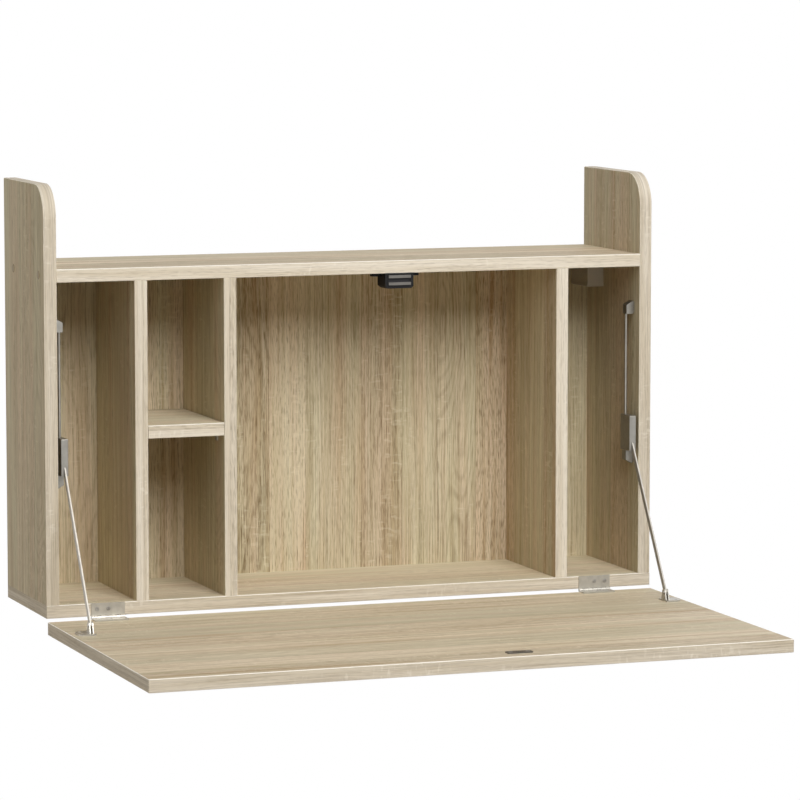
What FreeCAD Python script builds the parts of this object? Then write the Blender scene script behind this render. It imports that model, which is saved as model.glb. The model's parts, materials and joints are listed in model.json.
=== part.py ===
import FreeCAD, Part
import Sketcher
import os
import re

# Fold-down wall desk. Millimetres, +X right, +Y into the wall, +Z up.
# The origin is the middle of the four wall screws, on the wall's surface.
# Places are written from the cabinet's left, front, bottom corner and moved to that origin by place().

sizes = {
    # boards
    "cabinet_width": 900,
    "cabinet_height": 595,
    "cabinet_depth": 208,
    "board": 18,
    "tray_height": 115,
    "corner_radius": 45,
    "edge_softening": 0.8,
    "back_thickness": 6,
    "back_recess": 8.7,
    "pigeonhole_width": 110.5,
    "lower_pigeonhole": 225,
    "shelf_play": 0.5,
    # wall screws
    "wall_screw_pitch": 32,
    "wall_screw_radius": 3.2,
    # gap between leaf and cabinet, open or shut
    "leaf_gap": 4,
    # butt hinges
    "hinge_inset": 63,
    "hinge_length": 48,
    "hinge_reach": 20,
    "hinge_plate": 1.7,
    "knuckle_radius": 2.7,
    "knuckle_play": 0.3,
    "hinge_pin_radius": 1.2,
    "hinge_screw_reach": 12,
    "hinge_screw_spread": 16,
    "plate_play": 0.4,
    # fits: a pin that turns, a pin that stays, the spare depth under a peg, and how far cuts run past a face
    "running_play": 0.05,
    "seat_play": 0.02,
    "peg_play": 0.5,
    "cut_past": 1,
    # screws that hold the plates
    "screw_hole": 3.6,
    "screw_head": 6.4,
    # flap stays
    "stay_inset": 27.5,
    "rail_radius": 2,
    "rail_setback": 26.5,
    "slider_width": 10,
    "slider_depth": 33,
    "slider_drop": 266,
    "slider_body_height": 46,
    "slider_cap_height": 5,
    "slider_edge": 0.8,
    "pivot_setback": 8,
    "pivot_rise": 17,
    "rail_play": 0.2,
    "arm_width": 8,
    "arm_thickness": 2,
    "arm_play": 0.5,
    "pivot_pin_radius": 1.5,
    "pin_recess": 0.2,
    "stop_play": 0.7,
    "end_block_height": 19,
    "end_block_depth": 13.5,
    "end_block_bevel": 6,
    "end_block_inner": 12.7,
    "rail_in_block": 9,
    "end_foot": 2.5,
    "end_foot_margin": 1.8,
    "end_peg_radius": 2.5,
    "end_peg_length": 9,
    "end_peg_forward": 5,
    "rail_setting": 12,
    "lower_end_play": 1.3,
    # bracket on the leaf
    "bracket_reach": 118,
    "bracket_rise": 12,
    "bracket_base": 2.2,
    "bracket_outboard": 19.5,
    "bracket_inboard": 4.2,
    "bracket_half_length": 15,
    "bracket_eye": 5,
    "bracket_foot": 8,
    "bracket_shoulder": 20,
    "bracket_corner": 8,
    "cheek_thickness": 1.7,
    "cheek_play": 0.3,
    "bracket_screw_out": 12.5,
    "bracket_screw_pitch": 17,
    "rivet_head_radius": 2.6,
    "rivet_head": 0.9,
    # magnetic catch
    "catch_place": 515,
    "catch_width": 42,
    "catch_height": 21.4,
    "catch_depth": 32,
    "catch_chamfer": 3,
    "flange_width": 71.4,
    "flange_setback": 14.7,
    "flange_depth": 12,
    "flange_thickness": 5,
    "flange_corner": 4,
    "flange_hole_radius": 2,
    "pole_width": 33,
    "pole_thickness": 4,
    "pole_drop": 2.7,
    "pole_gap": 6,
    "pole_depth": 28,
    "strike_play": 0.3,
    "magnet_recess": 2,
    "magnet_depth": 22,
    "strike_length": 36,
    "strike_width": 14,
    "strike_thickness": 1.5,
    "strike_corner": 3,
    "strike_hole_pitch": 24,
    # cabinet hangers
    "hanger_width": 25,
    "hanger_depth": 60,
    "hanger_height": 38.7,
    "hanger_edge": 2,
    "hanger_lip": 0.8,
    "hanger_lip_height": 4,
    "hook_drop": 11.5,
    "hook_to_screws": 11.5,
    "hook_width": 14,
    "hook_thickness": 2.5,
    "hook_height": 9,
    "hook_reach": 11.9,
    "hook_nose": 2.3,
    "hook_slot_play": 2,
    "hook_play": 0.5,
    "wall_plate": 2,
    "wall_plate_width": 23,
    "wall_plate_height": 45,
    "wall_plate_corner": 3,
    "wall_lip_width": 17,
    "wall_lip_height": 6.7,
    # shelf supports
    "support_peg_radius": 2.5,
    "support_peg_length": 8,
    "support_reach": 9,
    "support_width": 10,
    "support_drop": 10,
    "support_peg_drop": 6,
    "support_wall": 2,
    "support_front": 35,
    "support_rear": 160,
    # cover caps on the sides
    "cap_radius": 6,
    "cap_height": 0.8,
    "cap_bevel": 1,
    "cap_rim": 0.3,
    "cap_front": 28,
    "cap_rear": 160,
}

# Places and lengths that follow from the sizes above.
derived = {
    "shelf_top": "cabinet_height - tray_height",
    "shelf_under": "shelf_top - board",
    "inner_width": "cabinet_width - 2 * board",
    "back_front": "cabinet_depth - back_recess - back_thickness",
    "middle_divider_place": "2 * board + 2 * pigeonhole_width",
    "right_divider_place": "cabinet_width - 2 * board - pigeonhole_width",
    "pigeonhole_shelf_place": "board + lower_pigeonhole",
    "axis_offset": "leaf_gap / 2",
    "knuckle_pitch": "hinge_length / 7",
    "plate_start": "knuckle_radius + plate_play",
    "slider_bottom": "shelf_under - slider_drop",
    "pivot_height": "slider_bottom + pivot_rise",
    "bracket_height": "bracket_rise - leaf_gap",
    "bracket_place": "axis_offset + bracket_reach",
    "arm_run": "bracket_place + pivot_setback",
    "arm_climb": "pivot_height - bracket_height",
    "arm_length": "sqrt(arm_run ^ 2 + arm_climb ^ 2)",
    "arm_lean": "atan2(arm_run; arm_climb)",
    "shut_pivot": "bracket_reach - axis_offset + arm_length",
    "slider_height": "slider_body_height + slider_cap_height",
    "upper_end_place": "shut_pivot - pivot_rise + slider_height + stop_play",
    "lower_end_place": "slider_bottom - lower_end_play",
    "end_block_front": "rail_setback - rail_in_block",
    "end_peg_setback": "rail_setback - end_peg_forward",
    "rail_from_side": "stay_inset - board",
    "throat": "arm_width / 2 + arm_play",
    "catch_centre": "shelf_under - pole_drop - pole_thickness - pole_gap / 2",
    "hanger_centre": "board + hanger_width / 2",
    "hook_top": "shelf_under - hook_drop",
    "hanging_height": "hook_top - hook_to_screws",
}

document = FreeCAD.newDocument("fold_down_desk")
sheet = document.addObject("Spreadsheet::Sheet", "Sizes")
for row, (alias, number) in enumerate(sizes.items(), start=1):
    sheet.set(f"A{row}", str(number))
    sheet.setAlias(f"A{row}", alias)
document.recompute()

nodes = []
cuts = []
right_hand = {"left": 1, "right": -1}


def bind(text):
    """Write a formula in plain size names as an expression on the sheet."""
    def swap(match):
        word = match.group(0)
        if word in derived:
            return "(" + bind(derived[word]) + ")"
        return "Sizes." + word if word in sizes else word
    return re.sub(r"[a-z][a-z_]*[a-z]", swap, str(text))


def value(text):
    """The number that a formula has now."""
    return float(FreeCAD.Units.Quantity(sheet.evalExpression(bind(text))).Value)


def place(item, x, y, z):
    """Put an object's own origin at a place measured from the cabinet's left, front, bottom corner."""
    item.setExpression("Placement.Base.x", bind(f"{x} - cabinet_width / 2"))
    item.setExpression("Placement.Base.y", bind(f"{y} - cabinet_depth"))
    item.setExpression("Placement.Base.z", bind(f"{z} - hanging_height"))


def across(side, x):
    """The same distance from the left end or from the right end."""
    return f"({x})" if side == "left" else f"(cabinet_width - ({x}))"


def new_body(label, x, y, z):
    body = document.addObject("PartDesign::Body", label)
    body.Label = label
    place(body, x, y, z)
    nodes.append(body)
    return body


def new_sketch(body, plane, offset="0"):
    """An empty sketch on one of the body's own planes, moved along that plane's normal."""
    sketch = body.newObject("Sketcher::SketchObject", "Outline")
    support = [item for item in body.Origin.OriginFeatures if item.Role == plane + "_Plane"][0]
    sketch.AttachmentSupport = [(support, "")]
    sketch.MapMode = "FlatFace"
    sketch.setExpression("AttachmentOffset.Base.z", bind(offset))
    return sketch


def pin_point(sketch, geometry, point, x, y):
    """Hold one point of a sketch at two formulas."""
    for kind, text in (("DistanceX", x), ("DistanceY", y)):
        index = sketch.addConstraint(Sketcher.Constraint(kind, -1, 1, geometry, point, value(text)))
        sketch.setExpression(f"Constraints[{index}]", bind(text))


def draw_polygon(sketch, points):
    """A closed run of straight lines through points given as pairs of formulas."""
    first = sketch.GeometryCount
    spots = [FreeCAD.Vector(value(x), value(y), 0) for x, y in points]
    for start, end in zip(spots, spots[1:] + spots[:1]):
        sketch.addGeometry(Part.LineSegment(start, end))
    count = len(points)
    for index, (x, y) in enumerate(points):
        following = first + (index + 1) % count
        sketch.addConstraint(Sketcher.Constraint("Coincident", first + index, 2, following, 1))
        pin_point(sketch, first + index, 1, x, y)


def draw_rectangle(sketch, x_low, x_high, y_low, y_high):
    draw_polygon(sketch, [(x_low, y_low), (x_high, y_low), (x_high, y_high), (x_low, y_high)])


def draw_circle(sketch, x, y, radius):
    centre = FreeCAD.Vector(value(x), value(y), 0)
    index = sketch.addGeometry(Part.Circle(centre, FreeCAD.Vector(0, 0, 1), value(radius)))
    pin_point(sketch, index, 3, x, y)
    bound = sketch.addConstraint(Sketcher.Constraint("Radius", index, value(radius)))
    sketch.setExpression(f"Constraints[{bound}]", bind(radius))


def pad(body, sketch, length, middle=False, backwards=False):
    feature = body.newObject("PartDesign::Pad", "Pad")
    feature.Profile = sketch
    feature.setExpression("Length", bind(length))
    feature.Midplane = middle
    feature.Reversed = backwards
    return feature


def pocket(body, sketch, length, middle=False, backwards=False):
    feature = body.newObject("PartDesign::Pocket", "Pocket")
    feature.Profile = sketch
    feature.setExpression("Length", bind(length))
    feature.Midplane = middle
    feature.Reversed = backwards
    cuts.append(feature)
    return feature


def screw_holes(body, plane, offset, spots):
    """Countersunk holes that go right through, against the plane's normal."""
    sketch = new_sketch(body, plane, offset)
    for x, y in spots:
        draw_circle(sketch, x, y, "screw_hole / 2")
    document.recompute()
    feature = body.newObject("PartDesign::Hole", "Hole")
    feature.Profile = sketch
    feature.DepthType = "ThroughAll"
    feature.setExpression("Diameter", bind("screw_hole"))
    feature.HoleCutType = "Countersink"
    feature.HoleCutCustomValues = True
    feature.setExpression("HoleCutDiameter", bind("screw_head"))
    feature.HoleCutCountersinkAngle = 90
    cuts.append(feature)
    return feature


def dress(body, kind, size, test):
    """Round or chamfer those edges of the body's tip whose middle and direction pass a test."""
    document.recompute()
    base = body.Tip
    chosen = []
    for index, edge in enumerate(base.Shape.Edges, start=1):
        ends = edge.Vertexes[-1].Point - edge.Vertexes[0].Point
        run = ends.normalize() if ends.Length > 1e-6 else FreeCAD.Vector(0, 0, 0)
        if test(edge.CenterOfMass, run):
            chosen.append(f"Edge{index}")
    feature = body.newObject("PartDesign::" + kind, kind)
    feature.Base = (base, chosen)
    feature.setExpression("Radius" if kind == "Fillet" else "Size", bind(size))
    return feature


def same(first, second):
    return abs(first - second) < 1e-4


def put_rod(label, radius, length, x, y, z, turn=None):
    """A plain rod that stands up, or lies along X when it is turned."""
    rod = document.addObject("Part::Cylinder", label)
    rod.Label = label
    rod.setExpression("Radius", bind(radius))
    rod.setExpression("Height", bind(length))
    if turn:
        rod.Placement = FreeCAD.Placement(FreeCAD.Vector(), turn)
    place(rod, x, y, z)
    nodes.append(rod)


def put_block(label, length, width, height, x, y, z):
    block = document.addObject("Part::Box", label)
    block.Label = label
    block.setExpression("Length", bind(length))
    block.setExpression("Width", bind(width))
    block.setExpression("Height", bind(height))
    place(block, x, y, z)
    nodes.append(block)


along_x = FreeCAD.Rotation(FreeCAD.Vector(0, 1, 0), 90)


# Boards
def make_board(label, length, depth, height, x, y, z, soft):
    """A board with the arrises of its edge banding, which a test picks, taken off."""
    body = new_body(label, x, y, z)
    sketch = new_sketch(body, "XY")
    draw_rectangle(sketch, "0", length, "0", depth)
    pad(body, sketch, height)
    dress(body, "Chamfer", "edge_softening", soft)
    return body


def make_side_panel(side):
    body = new_body(f"{side}_side_panel", across(side, "0" if side == "left" else "board"), "0", "board")
    sketch = new_sketch(body, "YZ")
    draw_rectangle(sketch, "0", "cabinet_depth", "0", "cabinet_height - board")
    pad(body, sketch, "board")
    top = value("cabinet_height - board")
    dress(body, "Fillet", "corner_radius",
          lambda at, run: same(at.y, 0) and same(at.z, top) and same(abs(run.x), 1))
    rear = value("cabinet_depth")
    dress(body, "Chamfer", "edge_softening",
          lambda at, run: not same(abs(run.x), 1) and not same(at.z, 0) and not same(at.y, rear))
    holes = new_sketch(body, "YZ", "board" if side == "left" else "0")
    for height in ("upper_end_place + end_block_height / 2", "lower_end_place - end_block_height / 2"):
        draw_circle(holes, "end_peg_setback", f"{height} - board", "end_peg_radius + seat_play")
    pocket(body, holes, "end_peg_length + peg_play", backwards=side == "right")


def make_back_panel():
    """The back has a slot behind each hanger for its hook."""
    body = new_body("back_panel", "board", "back_front", "board")
    sketch = new_sketch(body, "XZ")
    draw_rectangle(sketch, "0", "inner_width", "0", "shelf_under - board")
    half = "(hook_width / 2 + hook_slot_play)"
    for centre in ("hanger_width / 2", "inner_width - hanger_width / 2"):
        draw_rectangle(sketch, f"{centre} - {half}", f"{centre} + {half}",
                       "hook_top - hook_height - hook_slot_play - board",
                       "hook_top + hook_slot_play - board")
    pad(body, sketch, "back_thickness", backwards=True)


def make_divider(label, x, support_face=None):
    """A divider; where it carries shelf supports it has two blind peg holes."""
    front = lambda at, run: same(at.y, 0) and same(abs(run.z), 1)
    body = make_board(label, "board", "back_front", "shelf_under - board", x, "0", "board", front)
    if support_face is None:
        return
    holes = new_sketch(body, "YZ", "board" if support_face > 0 else "0")
    for setback in ("support_front", "support_rear"):
        draw_circle(holes, setback, "pigeonhole_shelf_place - support_peg_drop - board",
                    "support_peg_radius + seat_play")
    pocket(body, holes, "support_peg_length + peg_play", backwards=support_face < 0)


def make_boards():
    front = lambda at, run: same(at.y, 0) and same(abs(run.x), 1)
    for side in right_hand:
        make_side_panel(side)
    make_board("top_shelf", "inner_width", "cabinet_depth", "board", "board", "0", "shelf_under", front)
    make_board("bottom_panel", "cabinet_width", "cabinet_depth", "board", "0", "0", "0", front)
    make_back_panel()
    make_divider("left_divider", "board + pigeonhole_width", support_face=1)
    make_divider("middle_divider", "middle_divider_place", support_face=-1)
    make_divider("right_divider", "right_divider_place")
    make_board("pigeonhole_shelf", "pigeonhole_width - 2 * shelf_play", "back_front - shelf_play", "board",
               "2 * board + pigeonhole_width + shelf_play", "0", "pigeonhole_shelf_place", front)
    whole = lambda at, run: True
    make_board("desk_leaf", "cabinet_width", "shelf_top", "board",
               "0", "-leaf_gap - shelf_top", "-leaf_gap - board", whole)


# Small cabinet fittings
def make_support(label, x, y, hand):
    """An angle with a peg: the peg goes into the divider, the flat carries the shelf."""
    body = new_body(label, x, y, "pigeonhole_shelf_place")
    sketch = new_sketch(body, "XZ")
    outline = [("0", "0"), ("support_reach", "0"), ("support_reach", "-support_wall"),
               ("support_wall", "-support_wall"), ("support_wall", "-support_drop"), ("0", "-support_drop")]
    draw_polygon(sketch, [(f"{hand} * ({u})", z) for u, z in outline])
    pad(body, sketch, "support_width", middle=True)
    peg = new_sketch(body, "YZ")
    draw_circle(peg, "0", "-support_peg_drop", "support_peg_radius")
    pad(body, peg, "support_peg_length", backwards=hand > 0)


def make_cover_cap(label, side, y):
    """A low domed cap over each screw that joins a side to the top shelf."""
    body = new_body(label, across(side, "0"), y, "shelf_top - board / 2")
    sketch = new_sketch(body, "XZ")
    hand = -right_hand[side]
    draw_polygon(sketch, [("0", "0"), (f"{hand} * cap_height", "0"),
                          (f"{hand} * cap_height", "cap_radius - cap_bevel"),
                          (f"{hand} * cap_rim", "cap_radius"), ("0", "cap_radius")])
    turned = body.newObject("PartDesign::Revolution", "Revolution")
    turned.Profile = sketch
    turned.ReferenceAxis = (sketch, ["H_Axis"])
    turned.Angle = 360


def make_fittings():
    for place_name in ("front", "rear"):
        make_support(f"left_{place_name}_shelf_support", "board * 2 + pigeonhole_width",
                     f"support_{place_name}", 1)
        make_support(f"right_{place_name}_shelf_support", "middle_divider_place",
                     f"support_{place_name}", -1)
        for side in right_hand:
            make_cover_cap(f"{side}_{place_name}_cover_cap", side, f"cap_{place_name}")


# Hinges
def make_hinge_plate(label, side, first, count, section, plane):
    """One half of a butt hinge: a flat plate and every second knuckle.
    section(reach, face) turns a reach from the pin and a depth towards the board into sketch places."""
    start = across(side, "hinge_inset" if side == "left" else "hinge_inset + hinge_length")
    body = new_body(label, start, "-axis_offset", "-axis_offset")
    outer = "(axis_offset - hinge_plate)"
    corners = [("plate_start", outer), ("hinge_reach", outer),
               ("hinge_reach", "axis_offset"), ("plate_start", "axis_offset")]
    plate = new_sketch(body, "YZ")
    draw_polygon(plate, [section(u, v) for u, v in corners])
    pad(body, plate, "hinge_length")
    begin = f"{first} * knuckle_pitch + knuckle_play / 2"
    barrel = new_sketch(body, "YZ", begin)
    draw_circle(barrel, "0", "0", "knuckle_radius")
    knuckle = pad(body, barrel, "knuckle_pitch - knuckle_play")
    strip = new_sketch(body, "YZ", begin)
    inner = [("0", outer), ("plate_start", outer), ("plate_start", "axis_offset"), ("0", "axis_offset")]
    draw_polygon(strip, [section(u, v) for u, v in inner])
    web = pad(body, strip, "knuckle_pitch - knuckle_play")
    document.recompute()
    repeat = body.newObject("PartDesign::LinearPattern", "Knuckles")
    repeat.Originals = [knuckle, web]
    repeat.Direction = (barrel, ["N_Axis"])
    repeat.Occurrences = count
    repeat.setExpression("Length", bind(f"{2 * (count - 1)} * knuckle_pitch"))
    body.Tip = repeat
    bore = new_sketch(body, "YZ")
    draw_circle(bore, "0", "0", "hinge_pin_radius + " + ("seat_play" if first == 0 else "running_play"))
    pocket(body, bore, "hinge_length", backwards=True)
    sign = 1 if plane == "XZ" else -1
    outboard = -right_hand[side]
    spots = [(f"hinge_length / 2 + {shift} * hinge_screw_spread", f"{sign} * hinge_screw_reach")
             for shift in (0, outboard)]
    screw_holes(body, plane, "-" + outer, spots)


def make_hinges():
    for side in right_hand:
        make_hinge_plate(f"{side}_hinge_cabinet_plate", side, 0, 4, lambda u, v: (v, u), "XZ")
        make_hinge_plate(f"{side}_hinge_leaf_plate", side, 1, 3,
                         lambda u, v: (f"-({u})", f"-({v})"), "XY")
        start = across(side, "hinge_inset" if side == "left" else "hinge_inset + hinge_length")
        put_rod(f"{side}_hinge_pin", "hinge_pin_radius", "hinge_length",
                start, "-axis_offset", "-axis_offset", along_x)


# Flap stays
def make_stay_end(side, position):
    """A bevelled block that holds one end of the rail off the side panel."""
    up = 1 if position == "upper" else -1
    hand = right_hand[side]
    body = new_body(f"{side}_stay_{position}_end", across(side, "board"), "end_block_front",
                    f"{position}_end_place")
    block = new_sketch(body, "XZ")
    outline = [("end_foot", "0"), ("end_block_inner", "0"),
               ("end_block_inner", "end_block_height - end_block_bevel"), ("end_foot", "end_block_height")]
    draw_polygon(block, [(f"{hand} * {u}", f"{up} * ({z})") for u, z in outline])
    pad(body, block, "end_block_depth", backwards=True)
    foot = new_sketch(body, "XZ", "-end_foot_margin")
    draw_rectangle(foot, "0", f"{hand} * end_foot",
                   f"{up} * end_foot_margin", f"{up} * (end_block_height - end_foot_margin)")
    pad(body, foot, "end_block_depth - 2 * end_foot_margin", backwards=True)
    peg = new_sketch(body, "YZ")
    draw_circle(peg, "end_peg_setback - end_block_front", f"{up} * end_block_height / 2", "end_peg_radius")
    pad(body, peg, "end_peg_length", backwards=hand > 0)
    socket = new_sketch(body, "XY")
    draw_circle(socket, f"{hand} * rail_from_side", "rail_setback - end_block_front",
                "rail_radius + seat_play")
    pocket(body, socket, "rail_setting + seat_play", backwards=up > 0)


def make_slider(side):
    """The slider carries the arm in a slot and straddles the rail with a channel at its back."""
    centre = across(side, "stay_inset")
    body = new_body(f"{side}_slider_body", centre, "pivot_setback", "pivot_height")
    block = new_sketch(body, "YZ")
    draw_rectangle(block, "-pivot_setback", "slider_depth - pivot_setback",
                   "-pivot_rise", "slider_body_height - pivot_rise")
    pad(body, block, "slider_width", middle=True)
    front = value("-pivot_setback")
    dress(body, "Fillet", "slider_edge", lambda at, run: same(at.y, front) and same(abs(run.z), 1))
    eye = new_sketch(body, "YZ")
    draw_circle(eye, "0", "0", "throat")
    pocket(body, eye, "arm_thickness + 2 * arm_play", middle=True)
    mouth = new_sketch(body, "YZ")
    draw_polygon(mouth, [
        ("throat", "0"), ("throat", "-pivot_rise - cut_past"),
        ("-pivot_setback - cut_past", "-pivot_rise - cut_past"),
        ("-pivot_setback - cut_past",
         "throat * sin(arm_lean) - (pivot_setback + cut_past - throat * cos(arm_lean)) / tan(arm_lean)"),
        ("-throat * cos(arm_lean)", "throat * sin(arm_lean)")])
    pocket(body, mouth, "arm_thickness + 2 * arm_play", middle=True)
    cut_rail_channel(body)
    bore = new_sketch(body, "YZ")
    draw_circle(bore, "0", "0", "pivot_pin_radius + seat_play")
    pocket(body, bore, "slider_width + cut_past", middle=True)


def cut_rail_channel(body):
    channel = new_sketch(body, "XY", "-pivot_rise - cut_past")
    half = "(rail_radius + rail_play)"
    draw_rectangle(channel, f"-{half}", half,
                   f"rail_setback - pivot_setback - {half}", "slider_depth - pivot_setback + cut_past")
    pocket(body, channel, "slider_height + 2 * cut_past", backwards=True)


def make_slider_cap(side):
    body = new_body(f"{side}_slider_cap", across(side, "stay_inset"), "pivot_setback", "pivot_height")
    block = new_sketch(body, "YZ")
    draw_rectangle(block, "-pivot_setback", "slider_depth - pivot_setback",
                   "slider_body_height - pivot_rise", "slider_height - pivot_rise")
    pad(body, block, "slider_width", middle=True)
    front = value("-pivot_setback")
    top, foot = value("slider_height - pivot_rise"), value("slider_body_height - pivot_rise")
    rear = value("slider_depth - pivot_setback")
    dress(body, "Fillet", "slider_edge",
          lambda at, run: (same(at.y, front) or same(at.z, top)) and not same(at.z, foot)
          and not same(at.y, rear))
    cut_rail_channel(body)


def make_arm(side):
    """A flat bar with a round eye at each end, leaning from the leaf's bracket up to the slider."""
    body = new_body(f"{side}_arm", across(side, "stay_inset"), "-bracket_place", "bracket_height")
    body.Placement = FreeCAD.Placement(body.Placement.Base, FreeCAD.Rotation(FreeCAD.Vector(-1, 0, 0), 30))
    body.setExpression("Placement.Rotation.Angle", bind("arm_lean"))
    bar = new_sketch(body, "YZ")
    draw_rectangle(bar, "-arm_width / 2", "arm_width / 2", "0", "arm_length")
    pad(body, bar, "arm_thickness", middle=True)
    for height in ("0", "arm_length"):
        eye = new_sketch(body, "YZ")
        draw_circle(eye, "0", height, "arm_width / 2")
        pad(body, eye, "arm_thickness", middle=True)
    bores = new_sketch(body, "YZ")
    for height in ("0", "arm_length"):
        draw_circle(bores, "0", height, "pivot_pin_radius + running_play")
    pocket(body, bores, "arm_thickness + cut_past", middle=True)


def make_leaf_bracket(side):
    """A base plate that reaches outboard and two upright cheeks with the arm between them."""
    hand = right_hand[side]
    body = new_body(f"{side}_leaf_bracket", across(side, "stay_inset"), "-bracket_place", "bracket_height")
    base = new_sketch(body, "XY", "-bracket_rise")
    draw_rectangle(base, f"-{hand} * bracket_outboard", f"{hand} * bracket_inboard",
                   "-bracket_half_length", "bracket_half_length")
    pad(body, base, "bracket_base")
    outer = value(f"-{hand} * bracket_outboard")
    dress(body, "Fillet", "bracket_corner", lambda at, run: same(at.x, outer) and same(abs(run.z), 1))
    gap = "(arm_thickness + 2 * cheek_play)"
    outside = f"({gap} + 2 * cheek_thickness)"
    upright = new_sketch(body, "YZ")
    foot = "bracket_base - bracket_rise"
    draw_polygon(upright, [("-bracket_foot", foot), ("bracket_foot", foot),
                           ("bracket_eye * cos(bracket_shoulder)", "bracket_eye * sin(bracket_shoulder)"),
                           ("-bracket_eye * cos(bracket_shoulder)", "bracket_eye * sin(bracket_shoulder)")])
    pad(body, upright, outside, middle=True)
    crown = new_sketch(body, "YZ")
    draw_circle(crown, "0", "0", "bracket_eye")
    pad(body, crown, outside, middle=True)
    slot = new_sketch(body, "YZ")
    draw_rectangle(slot, "-bracket_foot - cut_past", "bracket_foot + cut_past",
                   foot, "bracket_eye + cut_past")
    pocket(body, slot, gap, middle=True)
    bore = new_sketch(body, "YZ")
    draw_circle(bore, "0", "0", "pivot_pin_radius + seat_play")
    pocket(body, bore, f"{outside} + cut_past", middle=True)
    out = f"-{hand} * bracket_screw_out"
    screw_holes(body, "XY", foot, [(out, "-bracket_screw_pitch / 2"), (out, "bracket_screw_pitch / 2")])


def make_rivet(side):
    """A turned rivet with a flat head outside each cheek."""
    body = new_body(f"{side}_bracket_rivet", across(side, "stay_inset"), "-bracket_place", "bracket_height")
    sketch = new_sketch(body, "XZ")
    near = "(arm_thickness / 2 + cheek_play + cheek_thickness)"
    far = f"({near} + rivet_head)"
    draw_polygon(sketch, [(f"-{far}", "0"), (far, "0"), (far, "rivet_head_radius"),
                          (near, "rivet_head_radius"), (near, "pivot_pin_radius"),
                          (f"-{near}", "pivot_pin_radius"), (f"-{near}", "rivet_head_radius"),
                          (f"-{far}", "rivet_head_radius")])
    turned = body.newObject("PartDesign::Revolution", "Revolution")
    turned.Profile = sketch
    turned.ReferenceAxis = (sketch, ["H_Axis"])
    turned.Angle = 360


def make_stays():
    for side in right_hand:
        centre = across(side, "stay_inset")
        put_rod(f"{side}_stay_rail", "rail_radius",
                "upper_end_place - lower_end_place + 2 * rail_setting",
                centre, "rail_setback", "lower_end_place - rail_setting")
        for position in ("upper", "lower"):
            make_stay_end(side, position)
        make_slider(side)
        make_slider_cap(side)
        put_rod(f"{side}_slider_pin", "pivot_pin_radius", "slider_width - 2 * pin_recess",
                f"{centre} - slider_width / 2 + pin_recess", "pivot_setback", "pivot_height", along_x)
        make_arm(side)
        make_leaf_bracket(side)
        make_rivet(side)


# Magnetic catch
def make_catch_housing():
    """A moulded case with a mouth for the pole plates and a drilled ear on each side."""
    body = new_body("catch_housing", "catch_place", "0", "shelf_under")
    block = new_sketch(body, "XY")
    draw_rectangle(block, "-catch_width / 2", "catch_width / 2", "0", "catch_depth")
    pad(body, block, "catch_height", backwards=True)
    low = value("-catch_height")
    dress(body, "Chamfer", "catch_chamfer",
          lambda at, run: same(at.z, low) and not (same(at.y, 0) and same(abs(run.x), 1)))
    ears = new_sketch(body, "XY")
    draw_rectangle(ears, "-flange_width / 2", "flange_width / 2",
                   "flange_setback", "flange_setback + flange_depth")
    pad(body, ears, "flange_thickness", backwards=True)
    end = value("flange_width / 2")
    dress(body, "Fillet", "flange_corner", lambda at, run: same(abs(at.x), end) and same(abs(run.z), 1))
    holes = new_sketch(body, "XY")
    for sign in ("-", ""):
        draw_circle(holes, f"{sign}(flange_width + catch_width) / 4", "flange_setback + flange_depth / 2",
                    "flange_hole_radius")
    pocket(body, holes, "flange_thickness")
    mouth = new_sketch(body, "XZ")
    draw_rectangle(mouth, "-pole_width / 2", "pole_width / 2",
                   "-pole_drop - 2 * pole_thickness - pole_gap", "-pole_drop")
    pocket(body, mouth, "pole_depth")


def make_catch():
    make_catch_housing()
    left = "catch_place - pole_width / 2"
    reach = "strike_thickness + strike_play - leaf_gap"
    low = "shelf_under - pole_drop - 2 * pole_thickness - pole_gap"
    rise = {"lower": low, "upper": f"{low} + pole_thickness + pole_gap"}
    for name, height in rise.items():
        put_block(f"catch_{name}_pole", "pole_width", f"pole_depth - ({reach}) - magnet_recess",
                  "pole_thickness", left, reach, height)
    put_block("catch_magnet", "pole_width", "magnet_depth", "pole_gap",
              left, "magnet_recess", f"{low} + pole_thickness")
    make_strike()


def make_strike():
    body = new_body("strike_plate", "catch_place", "-leaf_gap - catch_centre", "-leaf_gap")
    sketch = new_sketch(body, "XY")
    draw_rectangle(sketch, "-strike_length / 2", "strike_length / 2", "-strike_width / 2", "strike_width / 2")
    pad(body, sketch, "strike_thickness")
    dress(body, "Fillet", "strike_corner", lambda at, run: same(abs(run.z), 1))
    screw_holes(body, "XY", "strike_thickness",
                [("-strike_hole_pitch / 2", "0"), ("strike_hole_pitch / 2", "0")])


# Cabinet hangers
def make_hanger_case(side):
    hand = right_hand[side]
    body = new_body(f"{side}_hanger_case", across(side, "board"), "back_front - hanger_depth",
                    "shelf_under - hanger_height")
    case = new_sketch(body, "XY")
    draw_rectangle(case, "0", f"{hand} * hanger_width", "0", "hanger_depth")
    pad(body, case, "hanger_height")
    inner = value(f"{hand} * hanger_width")
    dress(body, "Fillet", "hanger_edge",
          lambda at, run: same(at.x, inner) and same(at.y, 0) and same(abs(run.z), 1))
    lip = new_sketch(body, "XY")
    draw_rectangle(lip, "0", f"{hand} * (hanger_width + hanger_lip)", "-hanger_lip", "hanger_depth")
    pad(body, lip, "hanger_lip_height")


def make_hook(side):
    """A steel hook that leaves the case, passes the back and turns down behind the wall plate's lip."""
    body = new_body(f"{side}_hanger_hook", across(side, "hanger_centre"), "back_front", "hook_top")
    sketch = new_sketch(body, "YZ")
    draw_polygon(sketch, [("0", "0"), ("hook_reach", "0"), ("hook_reach", "-hook_height"),
                          ("hook_reach - hook_nose", "-hook_height"),
                          ("hook_reach - hook_nose", "-hook_thickness"), ("0", "-hook_thickness")])
    pad(body, sketch, "hook_width", middle=True)


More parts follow.
